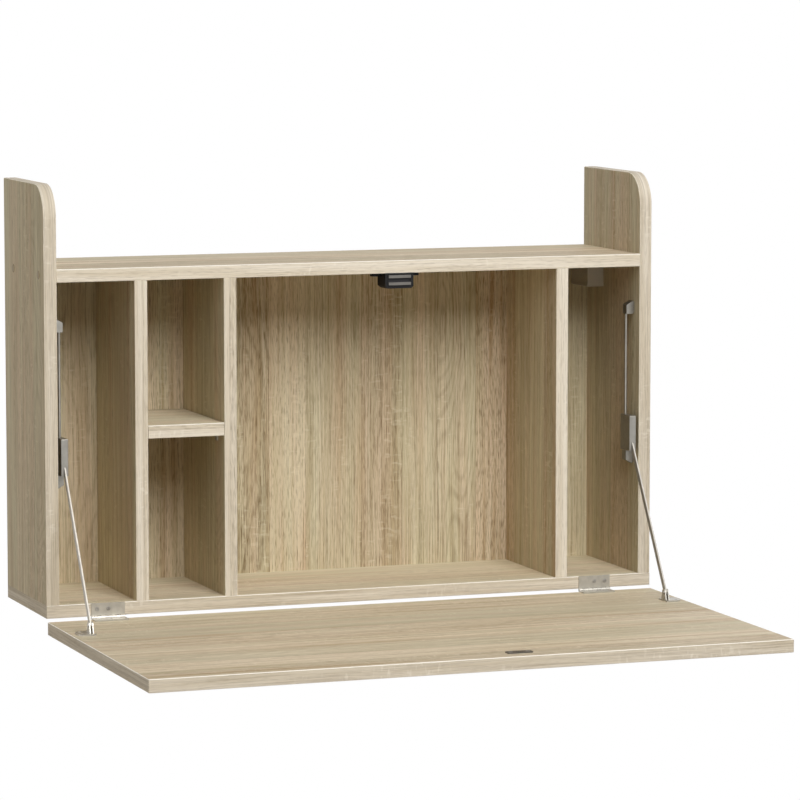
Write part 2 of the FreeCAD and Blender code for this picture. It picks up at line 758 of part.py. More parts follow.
def make_wall_plate(side):
    """A flat plate screwed to the wall, with an upturned lip that carries the hook."""
    body = new_body(f"{side}_wall_plate", across(side, "hanger_centre"), "cabinet_depth", "hanging_height")
    plate = new_sketch(body, "XZ")
    draw_rectangle(plate, "-wall_plate_width / 2", "wall_plate_width / 2",
                   "-wall_plate_height / 2", "wall_plate_height / 2")
    pad(body, plate, "wall_plate")
    dress(body, "Fillet", "wall_plate_corner", lambda at, run: same(abs(run.y), 1))
    lip = new_sketch(body, "YZ")
    front = "-(cabinet_depth - back_front - hook_reach + hook_nose + hook_play + wall_plate)"
    top = "(hook_top - hook_thickness - hanging_height)"
    draw_polygon(lip, [("-wall_plate", f"{top} - wall_lip_height - wall_plate"),
                       ("-wall_plate", f"{top} - wall_lip_height"),
                       (f"{front} + wall_plate", f"{top} - wall_lip_height"),
                       (f"{front} + wall_plate", top), (front, top),
                       (front, f"{top} - wall_lip_height - wall_plate")])
    pad(body, lip, "wall_lip_width", middle=True)
    holes = new_sketch(body, "XZ")
    for sign in ("-", ""):
        draw_circle(holes, "0", f"{sign}wall_screw_pitch / 2", "wall_screw_radius")
    pocket(body, holes, "wall_plate + cut_past", backwards=True)


def make_hangers():
    for side in right_hand:
        make_hanger_case(side)
        make_hook(side)
        make_wall_plate(side)


def check_model():
    """Stop on a failed object, an empty or invalid shape, or a cut that took nothing away."""
    for item in document.Objects:
        if "Invalid" in item.State or "Error" in item.State:
            raise RuntimeError(f"{item.Label}: {item.State}")
    for item in nodes:
        if item.Shape.isNull() or not item.Shape.isValid() or len(item.Shape.Solids) != 1:
            raise RuntimeError(f"{item.Label}: shape is not one valid solid")
    for item in cuts:
        if item.Shape.Volume > item.BaseFeature.Shape.Volume - 1e-3:
            raise RuntimeError(f"{item.Label}: cuts nothing")


make_boards()
make_fittings()
make_hinges()
make_stays()
make_catch()
make_hangers()
document.recompute()
check_model()

os.makedirs("parts", exist_ok=True)
for item in nodes:
    item.Shape.exportStep(f"parts/{item.Label}.step")
print(len(nodes), "sub-parts written")
print("arm length", round(value("arm_length"), 2), "lean", round(value("arm_lean"), 3),
      "upper stop", round(value("upper_end_place"), 2))
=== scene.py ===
import json
import math
import bpy
import numpy as np
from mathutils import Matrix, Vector


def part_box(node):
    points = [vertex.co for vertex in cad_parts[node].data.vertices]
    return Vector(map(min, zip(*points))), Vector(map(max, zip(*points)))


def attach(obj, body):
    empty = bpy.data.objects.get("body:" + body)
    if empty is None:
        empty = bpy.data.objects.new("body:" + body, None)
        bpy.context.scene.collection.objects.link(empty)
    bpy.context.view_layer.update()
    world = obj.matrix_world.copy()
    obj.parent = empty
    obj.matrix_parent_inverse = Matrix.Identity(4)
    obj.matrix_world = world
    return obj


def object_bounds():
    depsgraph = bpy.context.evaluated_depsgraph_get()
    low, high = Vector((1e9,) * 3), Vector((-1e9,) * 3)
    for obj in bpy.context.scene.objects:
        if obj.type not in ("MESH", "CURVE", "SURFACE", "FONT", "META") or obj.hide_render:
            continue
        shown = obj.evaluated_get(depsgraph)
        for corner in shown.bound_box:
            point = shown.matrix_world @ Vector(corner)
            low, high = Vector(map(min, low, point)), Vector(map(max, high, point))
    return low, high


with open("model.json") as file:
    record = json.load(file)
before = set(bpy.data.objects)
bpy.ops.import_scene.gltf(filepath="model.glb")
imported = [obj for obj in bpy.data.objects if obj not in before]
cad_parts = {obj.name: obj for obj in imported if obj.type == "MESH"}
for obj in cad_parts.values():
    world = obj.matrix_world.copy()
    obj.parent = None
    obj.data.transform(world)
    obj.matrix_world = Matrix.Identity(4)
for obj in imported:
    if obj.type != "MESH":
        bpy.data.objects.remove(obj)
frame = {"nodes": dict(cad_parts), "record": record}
cadLow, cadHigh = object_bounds()
print("frame loaded:", len(frame["nodes"]), "pieces")

# places are measured in millimetres from the cabinet's left front bottom corner
corner = np.array(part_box("bottom_panel")[0])


# right of, behind and above the corner, to metres in the frame
def fromCorner(x, y, z):
    return corner + np.array([x, y, z]) / 1000


# sRGB hex to linear: c / 12.92 where dark, otherwise (c + 0.055) / 1.055 to the power 2.4
def linear(hexText):
    channels = [int(hexText[i:i + 2], 16) / 255 for i in (1, 3, 5)]
    return [c / 12.92 if c <= 0.04045 else ((c + 0.055) / 1.055) ** 2.4 for c in channels] + [1.0]


# one node with its settings; an input is a value, a socket, or a node whose first live output is linked
def addNode(tree, kind, inputs=None, **settings):
    node = tree.nodes.new("ShaderNode" + kind)
    for name, setting in settings.items():
        setattr(node, name, setting)
    for key, given in (inputs or {}).items():
        if isinstance(given, bpy.types.Node):
            given = next(socket for socket in given.outputs if socket.enabled)
        if isinstance(given, bpy.types.NodeSocket):
            tree.links.new(given, node.inputs[key])
        else:
            node.inputs[key].default_value = given
    return node


def newMaterial(name):
    material = bpy.data.materials.new(name)
    material.use_nodes = True
    material.node_tree.nodes.clear()
    return material, material.node_tree


# Melamine-faced board: a printed light oak under a clear matt resin, pressed with fine pores. The eye gets a
# pale grey-yellow wood in planks of slightly different tone, with long thin lines, brown veins, faint arches,
# small pale flecks across the grain and now and then a pin knot. Real lines and pores are 0.2 to 0.6 mm wide;
# they are drawn about three times as coarse so that they show.
# A near-white painted highlight is laid along the bevelled arrises.
oak = {
    # the near-white colour serves both the pale flecks and the painted highlight along the arrises
    "pale": "#e8dfcf", "middle": "#d5c9b3", "deep": "#755f3f", "warm": "#b3936c", "paleFleckAndPaintedHighlight": "#fffaf0",
    # strips of the faces lean towards olive or towards red brown; level boards do so least
    "olive": "#f0efde", "rust": "#f5ebdc", "stripLength": 600, "stripWidth": 26, "stripWarmth": 0.35,
    "lean": {"upright": 1.0, "back": 1.0, "level": 0.75},
    # how strongly each kind of board gets the painted highlight along its arrises
    "paintedHighlightShare": {"upright": 0.45, "back": 0.45, "level": 0.95},
    "faceShare": {"upright": 0.85, "back": 1.0, "level": 0.62}, "edgingShare": 0.62,
    "plankWidth": 62, "plankContrast": 0.30, "plankSeam": 0.9, "plankUneven": 0.85, "plankPace": 1.7,
    "plankApart": 6.0, "seamShare": 0.25,
    "poreLength": 15, "poreWidth": 1.2, "poreShare": 0.46,
    "lineLength": 150, "lineWidth": 1.5, "lineShare": 0.38,
    "strandLength": 380, "strandWidth": 8,
    "veinLength": 460, "veinWidth": 13, "veinShare": 0.72,
    "archLength": 420, "archWidth": 70, "archRings": 150, "archShare": 0.16,
    "fleckLength": 5, "fleckWidth": 15, "fleckShare": 0.22,
    "patchLength": 130, "patchWidth": 34,
    "knotSpacing": 260, "knotSize": 2.6, "knotRim": 2.6, "knotCore": 0.5, "knotStretch": 0.55,
    "knotChoice": 0.72, "knotShare": 0.9,
    "wander": 8, "wanderLength": 230, "wanderWidth": 60,
    # the part of each noise's range over which its mark grows from nothing to full
    "lineRange": (0.46, 0.64), "poreRange": (0.50, 0.63), "strandRange": (0.34, 0.68),
    "veinRange": (0.50, 0.70), "figureRange": (0.45, 0.75), "fleckRange": (0.58, 0.70),
    "patchRange": (0.52, 0.66), "stripRange": (0.50, 0.85), "openRange": (0.2, 0.9), "openLeast": 0.35,
    "poreDepth": 0.06, "poreSunk": 0.7, "lineSunk": 0.3, "bump": 0.5,
    "roughPale": 0.56, "roughDark": 0.70, "gloss": 0.15, "ior": 1.5,
}

# how much of a normal lies along an axis on a face and on an arris, where the painted highlight goes, and how
# the pattern's third coordinate runs on from board to board
boardSides = {"face": 0.7, "arrisFrom": 0.985, "arrisTo": 0.93, "arrisLeast": 0.3,
              "facePace": 9.0, "faceStart": 3.0, "edgePace": 0.4, "edgeStart": 30.0}


# how a board lies: which way its grain runs on the faces, and round the narrow edges, where the strip of
# edging runs the long way; the third coordinate sets one face's pattern apart from the next; a mask marks
# the arrises for a painted highlight
def grainPlaces(tree, layout):
    where = addNode(tree, "TexCoord")
    x, y, z = addNode(tree, "SeparateXYZ", {0: where.outputs["Object"]}).outputs
    facing = addNode(tree, "VectorMath", {0: where.outputs["Normal"]}, operation="ABSOLUTE")
    facing = addNode(tree, "SeparateXYZ", {0: facing}).outputs
    flatAxis = {"upright": 0, "back": 1, "level": 2}[layout]
    flat = addNode(tree, "Math", {0: facing[flatAxis], 1: boardSides["face"]}, operation="GREATER_THAN")
    endwise = addNode(tree, "Math", {0: facing[0], 1: boardSides["face"]}, operation="GREATER_THAN")
    if layout == "upright":     # faces: along z, across y; edging: along z - y, across x
        aroundCorner = addNode(tree, "Math", {0: z, 1: y}, operation="SUBTRACT")
        along = addNode(tree, "Mix", {"Factor": flat, "A": aroundCorner, "B": z}, data_type="FLOAT")
        across = addNode(tree, "Mix", {"Factor": flat, "A": x, "B": y}, data_type="FLOAT")
        apart = x
    elif layout == "back":
        along, across, apart = z, x, y
    else:                       # faces: along x, across y; front edging: along x, across z; ends: along y
        along = addNode(tree, "Mix", {"Factor": endwise, "A": x, "B": y}, data_type="FLOAT")
        across = addNode(tree, "Mix", {"Factor": flat, "A": z, "B": y}, data_type="FLOAT")
        apart = z
    # an edging strip has a pattern of its own: its third coordinate starts elsewhere
    face = addNode(tree, "Math", {0: apart, 1: boardSides["facePace"], 2: boardSides["faceStart"]},
                   operation="MULTIPLY_ADD")
    edging = addNode(tree, "Math", {0: apart, 1: boardSides["edgePace"], 2: boardSides["edgeStart"]},
                     operation="MULTIPLY_ADD")
    third = addNode(tree, "Mix", {"Factor": flat, "A": edging, "B": face}, data_type="FLOAT")
    # a bevelled arris faces half way between the flat axis and another, 0.71 along the flat one: the painted
    # highlight goes there
    paleFleckAndPaintedHighlight = addNode(tree, "MapRange", {"Value": facing[flatAxis], "From Min": boardSides["arrisFrom"],
                                       "From Max": boardSides["arrisTo"]})
    bent = addNode(tree, "Math", {0: facing[flatAxis], 1: boardSides["arrisLeast"]}, operation="GREATER_THAN")
    paleFleckAndPaintedHighlight = addNode(tree, "Math", {0: paleFleckAndPaintedHighlight, 1: bent}, operation="MULTIPLY")
    paleFleckAndPaintedHighlight = addNode(tree, "Math", {0: paleFleckAndPaintedHighlight, 1: oak["paintedHighlightShare"][layout]}, operation="MULTIPLY")
    return along, across, third, flat, paleFleckAndPaintedHighlight


# noise drawn out along the grain: one patch is about length by width millimetres
def grainPatch(tree, along, across, third, length, width, detail=1.0, rough=0.5):
    lengthwise = addNode(tree, "Math", {0: along, 1: 1000 / length}, operation="MULTIPLY")
    widthwise = addNode(tree, "Math", {0: across, 1: 1000 / width}, operation="MULTIPLY")
    spot = addNode(tree, "CombineXYZ", {"X": lengthwise, "Y": widthwise, "Z": third})
    return addNode(tree, "TexNoise", {"Vector": spot, "Scale": 1.0, "Detail": detail, "Roughness": rough})


def oakDecor(name, layout):
    material, tree = newMaterial(name)
    along, across, third, flat, paleFleckAndPaintedHighlight = grainPlaces(tree, layout)

    # planks: cells of unequal width across the grain, each with three numbers of its own
    widthwise = addNode(tree, "Math", {0: across, 1: 1000 / oak["plankWidth"]}, operation="MULTIPLY")
    widthwise = addNode(tree, "Math", {0: third, 1: oak["plankPace"], 2: widthwise}, operation="MULTIPLY_ADD")
    cells = {"W": widthwise, "Scale": 1.0, "Randomness": oak["plankUneven"]}
    plank = addNode(tree, "TexVoronoi", cells, voronoi_dimensions="1D")
    seam = addNode(tree, "TexVoronoi", cells, voronoi_dimensions="1D", feature="DISTANCE_TO_EDGE")
    tone, warmth, figure = addNode(tree, "SeparateXYZ", {0: plank.outputs["Color"]}).outputs
    seam = addNode(tree, "MapRange", {"Value": seam, "From Min": oak["plankSeam"] / oak["plankWidth"],
                                      "From Max": 0.0})
    own = addNode(tree, "Math", {0: tone, 1: oak["plankApart"], 2: third}, operation="MULTIPLY_ADD")

    # the grain wanders sideways by a few millimetres of slow noise
    drift = grainPatch(tree, along, across, own, oak["wanderLength"], oak["wanderWidth"], detail=2.0)
    drift = addNode(tree, "Math", {0: drift, 1: 0.5}, operation="SUBTRACT")
    across = addNode(tree, "Math", {0: drift, 1: oak["wander"] / 1000, 2: across}, operation="MULTIPLY_ADD")

    line = grainPatch(tree, along, across, own, oak["lineLength"], oak["lineWidth"], detail=2.0, rough=0.6)
    line = addNode(tree, "MapRange", {"Value": line, "From Min": oak["lineRange"][0],
                                      "From Max": oak["lineRange"][1]})
    pore = grainPatch(tree, along, across, own, oak["poreLength"], oak["poreWidth"])
    pore = addNode(tree, "MapRange", {"Value": pore, "From Min": oak["poreRange"][0],
                                      "From Max": oak["poreRange"][1]})
    # some planks are full of pores, others nearly bare
    openness = addNode(tree, "MapRange", {"Value": warmth, "From Min": oak["openRange"][0],
                                          "From Max": oak["openRange"][1], "To Min": oak["openLeast"]})
    pore = addNode(tree, "Math", {0: pore, 1: openness}, operation="MULTIPLY")
    strand = grainPatch(tree, along, across, own, oak["strandLength"], oak["strandWidth"], detail=3.0,
                        rough=0.6)
    strand = addNode(tree, "MapRange", {"Value": strand, "From Min": oak["strandRange"][0],
                                        "From Max": oak["strandRange"][1]})
    vein = grainPatch(tree, along, across, own, oak["veinLength"], oak["veinWidth"], detail=2.0)
    vein = addNode(tree, "MapRange", {"Value": vein, "From Min": oak["veinRange"][0],
                                      "From Max": oak["veinRange"][1]})

    # arches: level lines of a slow noise, as the sine of that noise times a number of rings
    hill = grainPatch(tree, along, across, own, oak["archLength"], oak["archWidth"])
    arch = addNode(tree, "Math", {0: hill, 1: oak["archRings"]}, operation="MULTIPLY")
    arch = addNode(tree, "Math", {0: arch}, operation="SINE")
    arch = addNode(tree, "MapRange", {"Value": arch, "From Min": 0.0, "From Max": 1.0})
    figure = addNode(tree, "MapRange", {"Value": figure, "From Min": oak["figureRange"][0],
                                        "From Max": oak["figureRange"][1]})
    arch = addNode(tree, "Math", {0: arch, 1: figure}, operation="MULTIPLY")

    # flecks: short pale patches across the grain, only here and there
    fleck = grainPatch(tree, along, across, own, oak["fleckLength"], oak["fleckWidth"])
    fleck = addNode(tree, "MapRange", {"Value": fleck, "From Min": oak["fleckRange"][0],
                                       "From Max": oak["fleckRange"][1]})
    place = grainPatch(tree, along, across, own, oak["patchLength"], oak["patchWidth"])
    place = addNode(tree, "MapRange", {"Value": place, "From Min": oak["patchRange"][0],
                                       "From Max": oak["patchRange"][1]})
    fleck = addNode(tree, "Math", {0: fleck, 1: place}, operation="MULTIPLY")

    # pin knots: spots, drawn out a little along the grain, at the points of wide cells, in one cell of four
    lengthwise = addNode(tree, "Math", {0: along, 1: 1000 * oak["knotStretch"] / oak["knotSpacing"]},
                         operation="MULTIPLY")
    widthwise = addNode(tree, "Math", {0: across, 1: 1000 / oak["knotSpacing"]}, operation="MULTIPLY")
    spot = addNode(tree, "CombineXYZ", {"X": lengthwise, "Y": widthwise, "Z": third})
    knots = addNode(tree, "TexVoronoi", {"Vector": spot, "Scale": 1.0}, voronoi_dimensions="2D")
    knot = addNode(tree, "MapRange", {"Value": knots.outputs["Distance"],
                                      "From Min": oak["knotRim"] * oak["knotSize"] / oak["knotSpacing"],
                                      "From Max": oak["knotCore"] * oak["knotSize"] / oak["knotSpacing"]})
    chosen = addNode(tree, "SeparateXYZ", {0: knots.outputs["Color"]})
    chosen = addNode(tree, "Math", {0: chosen, 1: oak["knotChoice"]}, operation="GREATER_THAN")
    knot = addNode(tree, "Math", {0: knot, 1: chosen}, operation="MULTIPLY")
    knot = addNode(tree, "Math", {0: knot, 1: flat}, operation="MULTIPLY")

    colour = addNode(tree, "Mix", {"Factor": strand, 6: linear(oak["pale"]), 7: linear(oak["middle"])},
                     data_type="RGBA")
    warm = addNode(tree, "Math", {0: warmth, 1: vein}, operation="MULTIPLY")
    warm = addNode(tree, "Math", {0: warm, 1: oak["veinShare"]}, operation="MULTIPLY")
    warm = addNode(tree, "Math", {0: warm, 1: flat}, operation="MULTIPLY", use_clamp=True)
    colour = addNode(tree, "Mix", {"Factor": warm, 6: colour, 7: linear(oak["warm"])}, data_type="RGBA")
    dark = addNode(tree, "Math", {0: line, 1: oak["lineShare"]}, operation="MULTIPLY")
    dark = addNode(tree, "Math", {0: pore, 1: oak["poreShare"], 2: dark}, operation="MULTIPLY_ADD")
    dark = addNode(tree, "Math", {0: arch, 1: oak["archShare"], 2: dark}, operation="MULTIPLY_ADD")
    # the edging strip is printed plainer than the faces
    plain = addNode(tree, "Mix", {"Factor": flat, "A": oak["edgingShare"], "B": oak["faceShare"][layout]},
                    data_type="FLOAT")
    dark = addNode(tree, "Math", {0: dark, 1: plain}, operation="MULTIPLY")
    dark = addNode(tree, "Math", {0: seam, 1: oak["seamShare"], 2: dark}, operation="MULTIPLY_ADD")
    dark = addNode(tree, "Math", {0: knot, 1: oak["knotShare"], 2: dark}, operation="MULTIPLY_ADD")
    plankTone = addNode(tree, "Math", {0: tone, 1: oak["plankContrast"], 2: -oak["plankContrast"] / 2},
                        operation="MULTIPLY_ADD")
    dark = addNode(tree, "Math", {0: dark, 1: plankTone}, operation="ADD", use_clamp=True)
    colour = addNode(tree, "Mix", {"Factor": dark, 6: colour, 7: linear(oak["deep"])}, data_type="RGBA")
    pale = addNode(tree, "Math", {0: fleck, 1: oak["fleckShare"]}, operation="MULTIPLY")
    colour = addNode(tree, "Mix", {"Factor": pale, 6: colour, 7: linear(oak["paleFleckAndPaintedHighlight"])}, data_type="RGBA")

    # the faces lean one way or the other, the edging does not, and a near-white painted highlight is laid
    # along the bevelled arrises
    strip = grainPatch(tree, along, across, third, oak["stripLength"], oak["stripWidth"])
    strip = addNode(tree, "Math", {0: warmth, 1: oak["stripWarmth"], 2: strip}, operation="MULTIPLY_ADD")
    strip = addNode(tree, "MapRange", {"Value": strip, "From Min": oak["stripRange"][0],
                                       "From Max": oak["stripRange"][1]})
    tint = addNode(tree, "Mix", {"Factor": strip, 6: linear(oak["olive"]), 7: linear(oak["rust"])},
                   data_type="RGBA")
    lean = addNode(tree, "Math", {0: flat, 1: oak["lean"][layout]}, operation="MULTIPLY")
    colour = addNode(tree, "Mix", {"Factor": lean, 6: colour, 7: tint}, data_type="RGBA",
                     blend_type="MULTIPLY")
    # painted highlight: the arrises are mixed towards near-white
    colour = addNode(tree, "Mix", {"Factor": paleFleckAndPaintedHighlight, 6: colour, 7: linear(oak["paleFleckAndPaintedHighlight"])}, data_type="RGBA")

    rough = addNode(tree, "Mix", {"Factor": dark, "A": oak["roughPale"], "B": oak["roughDark"]},
                    data_type="FLOAT")
    sunk = addNode(tree, "Math", {0: pore, 1: oak["poreSunk"]}, operation="MULTIPLY")
    sunk = addNode(tree, "Math", {0: line, 1: oak["lineSunk"], 2: sunk}, operation="MULTIPLY_ADD")
    bump = addNode(tree, "Bump", {"Strength": oak["bump"], "Distance": oak["poreDepth"] / 1000,
                                  "Height": sunk}, invert=True)
    shader = addNode(tree, "BsdfPrincipled", {"Base Color": colour, "Roughness": rough, "Normal": bump,
                                              "IOR": oak["ior"], "Specular IOR Level": oak["gloss"]})
    addNode(tree, "OutputMaterial", {"Surface": shader})
    return material


# Plated or bare steel, drawn, tumbled or cast: fine scratches along one axis break up the shine, and a slow
# cloudiness dulls it unevenly. Scratches are about 0.1 mm apart on the real part and three times that here.
metals = {
    "satinNickelPlate": {"hex": "#bdb9b0", "rough": 0.40, "grain": 0.20, "axis": 0},
    "satinNickelFlatBar": {"hex": "#aaa69e", "rough": 0.60, "grain": 0.15, "axis": 2},
    "turnedSteel": {"hex": "#a9a6a1", "rough": 0.30, "grain": 0.15, "axis": 0},
    "drawnNickelRod": {"hex": "#aaa7a0", "rough": 0.32, "grain": 0.15, "axis": 2},
    "satinNickelCasting": {"hex": "#9b9891", "rough": 0.40, "grain": 0.12, "axis": 2},
    "nickelledPressing": {"hex": "#d0ccc2", "rough": 0.48, "grain": 0.15, "axis": 1},
    "brightZincPlate": {"hex": "#a9adb0", "rough": 0.42, "grain": 0.20, "axis": 2},
    "tumbledSteelStrip": {"hex": "#73706b", "rough": 0.42, "grain": 0.15, "axis": 0},
}


# shared by all metals, in millimetres: scratches and clouds, how dull a cloud is, and the depth of a scratch
brushed = {"scratchWidth": 0.35, "scratchLength": 14, "cloud": 9, "cloudRange": (0.35, 0.7), "dull": 0.84,
           "bump": 0.25, "depth": 0.02}


def brushedMetal(name):
    metal = metals[name]
    material, tree = newMaterial(name)
    where = addNode(tree, "TexCoord").outputs["Object"]
    fine = [1000 / brushed["scratchWidth"]] * 3
    fine[metal["axis"]] = 1000 / brushed["scratchLength"]
    spot = addNode(tree, "Mapping", {"Vector": where, "Scale": fine})
    scratch = addNode(tree, "TexNoise", {"Vector": spot, "Scale": 1.0, "Detail": 2.0})
    cloud = addNode(tree, "TexNoise", {"Vector": where, "Scale": 1000 / brushed["cloud"], "Detail": 3.0})
    cloud = addNode(tree, "MapRange", {"Value": cloud, "From Min": brushed["cloudRange"][0],
                                       "From Max": brushed["cloudRange"][1]})
    bright = linear(metal["hex"])
    dull = [c * brushed["dull"] for c in bright[:3]] + [1.0]
    colour = addNode(tree, "Mix", {"Factor": cloud, 6: bright, 7: dull}, data_type="RGBA")
    rough = addNode(tree, "Math", {0: scratch, 1: metal["grain"], 2: metal["rough"] - metal["grain"] / 2},
                    operation="MULTIPLY_ADD")
    bump = addNode(tree, "Bump", {"Strength": brushed["bump"], "Distance": brushed["depth"] / 1000,
                                  "Height": scratch})
    shader = addNode(tree, "BsdfPrincipled", {"Base Color": colour, "Metallic": 1.0, "Roughness": rough,
                                              "Normal": bump})
    addNode(tree, "OutputMaterial", {"Surface": shader})
    return material


# Injection-moulded ABS from a spark-eroded tool, and pressed ferrite: an even, dull skin of fine grains
plastics = {
    "sinteredFerrite": {"hex": "#2b2a2c", "rough": 0.70, "grain": 0.5, "gloss": 0.3},
    "blackMouldedAbs": {"hex": "#121112", "rough": 0.55, "grain": 0.6, "gloss": 0.2},
    "lightMouldedAbs": {"hex": "#cfcabf", "rough": 0.50, "grain": 0.6, "gloss": 0.4},
    "oakTonedAbs": {"hex": "#9f8d6e", "rough": 0.50, "grain": 0.6, "gloss": 0.3},
}


# shared by all plastics, in millimetres: clouds of handling, how much they darken, and the depth of the grain
moulded = {"cloud": 25, "cloudRange": (0.3, 0.75), "handled": 0.88, "roughSpread": 0.14, "bump": 0.35,
           "depth": 0.04, "ior": 1.54}


def mouldedPlastic(name):
    plastic = plastics[name]
    material, tree = newMaterial(name)
    where = addNode(tree, "TexCoord").outputs["Object"]
    grain = addNode(tree, "TexNoise", {"Vector": where, "Scale": 1000 / plastic["grain"], "Detail": 2.0})
    cloud = addNode(tree, "TexNoise", {"Vector": where, "Scale": 1000 / moulded["cloud"], "Detail": 2.0})
    cloud = addNode(tree, "MapRange", {"Value": cloud, "From Min": moulded["cloudRange"][0],
                                       "From Max": moulded["cloudRange"][1]})
    clean = linear(plastic["hex"])
    handled = [c * moulded["handled"] for c in clean[:3]] + [1.0]
    colour = addNode(tree, "Mix", {"Factor": cloud, 6: clean, 7: handled}, data_type="RGBA")
    spread = moulded["roughSpread"]
    rough = addNode(tree, "Math", {0: grain, 1: spread, 2: plastic["rough"] - spread / 2},
                    operation="MULTIPLY_ADD")
    bump = addNode(tree, "Bump", {"Strength": moulded["bump"], "Distance": moulded["depth"] / 1000,
                                  "Height": grain})
    shader = addNode(tree, "BsdfPrincipled", {"Base Color": colour, "Roughness": rough, "Normal": bump,
                                              "IOR": moulded["ior"], "Specular IOR Level": plastic["gloss"]})
    addNode(tree, "OutputMaterial", {"Surface": shader})
    return material


finishes = {
    "oak_upright": oakDecor("oakDecorUpright", "upright"),
    "oak_level": oakDecor("oakDecorLevel", "level"),
    "oak_back": oakDecor("oakDecorBack", "back"),
    "satin_nickel": brushedMetal("satinNickelPlate"),
    "pin_steel": brushedMetal("turnedSteel"),
    "rail_steel": brushedMetal("drawnNickelRod"),
    "stay_casting": brushedMetal("satinNickelCasting"),
    "support_steel": brushedMetal("nickelledPressing"),
    "zinc_steel": brushedMetal("brightZincPlate"),
    "pole_steel": brushedMetal("tumbledSteelStrip"),
    "ferrite": mouldedPlastic("sinteredFerrite"),
    "catch_plastic": mouldedPlastic("blackMouldedAbs"),
    "hanger_plastic": mouldedPlastic("lightMouldedAbs"),
    "cap_plastic": mouldedPlastic("oakTonedAbs"),
}
# duller than the rest of their slot: the arms are bare flat bar and the strike plate is bare strip
flatBar = brushedMetal("satinNickelFlatBar")
ownFinish = {"left_arm": flatBar, "right_arm": flatBar, "strike_plate": finishes["pole_steel"]}
for entry in frame["record"]["subparts"]:
    piece = frame["nodes"][entry["node"]]
    for index in range(len(piece.material_slots)):
        piece.material_slots[index].material = ownFinish.get(entry["node"], finishes[entry["material_slot"]])
print("finishes:", len(finishes))

# countersunk steel screws with a cross recess, in millimetres
screw = {"headRadius": 3.05, "dome": 0.25, "skirt": 1.2, "armHalf": 0.42, "armReach": 1.9, "recess": 1.1,
         "armEnd": 0.25, "armWall": 0.12, "shallower": 0.35, "panRise": 1.1, "ringPower": 0.8,
         "flushSkirt": 0.9, "panSkirt": 0.05, "flushFoot": 0.62, "rings": 22, "spokes": 72}


# A head is a grid of radius and angle. Height over the seat: dome * (1 - (r / R)^2), minus the recess where
# the point lies near one of the cross's two arms, with u and v along and across an arm. A pan head adds a
# rounded plate, its rise * sqrt(1 - (r / R)^4). The last ring drops by the skirt, into the countersink.
def screwHead(name, centre, outward, sideways, body, size=1.0, flush=True):
    rings, spokes = screw["rings"], screw["spokes"]
    big = screw["headRadius"] * size
    radius = np.linspace(0, 1, rings)[1:] ** screw["ringPower"] * big
    angle = np.linspace(0, 2 * np.pi, spokes, endpoint=False)
    r, a = np.meshgrid(radius, angle, indexing="ij")
    u, v = np.abs(r * np.cos(a)), np.abs(r * np.sin(a))
    reach, half = screw["armReach"] * size, screw["armHalf"] * size
    end, wall = screw["armEnd"], screw["armWall"]
    armOne = np.clip((reach - u) / end, 0, 1) * np.clip((half - v) / wall + 0.5, 0, 1)
    armTwo = np.clip((reach - v) / end, 0, 1) * np.clip((half - u) / wall + 0.5, 0, 1)
    deep = screw["recess"] * size
    lift = 0.0 if flush else screw["panRise"] * size
    cross = deep * np.maximum(armOne, armTwo) * (1 - screw["shallower"] * r / big)
    height = screw["dome"] * (1 - (r / big) ** 2) - cross
    height = height + lift * np.sqrt(np.clip(1 - (r / big) ** 4, 0, 1))
    foot = screw["skirt"] * screw["flushSkirt" if flush else "panSkirt"]
    height[-1] = -foot
    rim = r.copy()
    rim[-1] = big * (screw["flushFoot"] if flush else 1.0)
    outward, sideways = np.array(outward, float), np.array(sideways, float)
    upward = np.cross(outward, sideways)
    ring = (rim * np.cos(a))[..., None] * sideways + (rim * np.sin(a))[..., None] * upward
    points = centre + (ring + height[..., None] * outward) / 1000
    middle = centre + outward * (screw["dome"] - deep + lift) / 1000
    low = centre - outward * foot / 1000
    vertices = np.vstack([points.reshape(-1, 3), middle, low])
    count = (rings - 1) * spokes
    first = np.arange((rings - 2) * spokes).reshape(rings - 2, spokes)
    turn = np.roll(first, -1, axis=1)
    quads = np.stack([first, first + spokes, turn + spokes, turn], axis=-1).reshape(-1, 4)
    inner = np.arange(spokes)
    outer = inner + (rings - 2) * spokes
    fans = np.stack([np.full(spokes, count), inner, np.roll(inner, -1)], axis=-1)
    base = np.stack([np.full(spokes, count + 1), np.roll(outer, -1), outer], axis=-1)
    mesh = bpy.data.meshes.new(name)
    mesh.from_pydata(vertices.tolist(), [], quads.tolist() + fans.tolist() + base.tolist())
    mesh.update()
    mesh.polygons.foreach_set("use_smooth", np.ones(len(mesh.polygons), bool))
    head = bpy.data.objects.new(name, mesh)
    bpy.context.scene.collection.objects.link(head)
    mesh.materials.append(finishes["pin_steel"])
    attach(head, body)


# screw places on each fitting, in millimetres; the seats are the outer faces of the plates
screwPlaces = {"hingeReach": 12, "hingeSpread": 16, "hingeSetback": 2, "upperSeat": 1.7, "lowerSeat": 2.3,
               "bracketIn": 7, "bracketHalf": 8.5, "bracketSeat": 2.2, "wallHalf": 16, "wallSeat": 2,
               "strikeHalf": 12, "catchIn": 7.35, "catchBack": 20.7, "catchDown": 5}
wallScrewSize, catchScrewSize = 1.4, 0.95


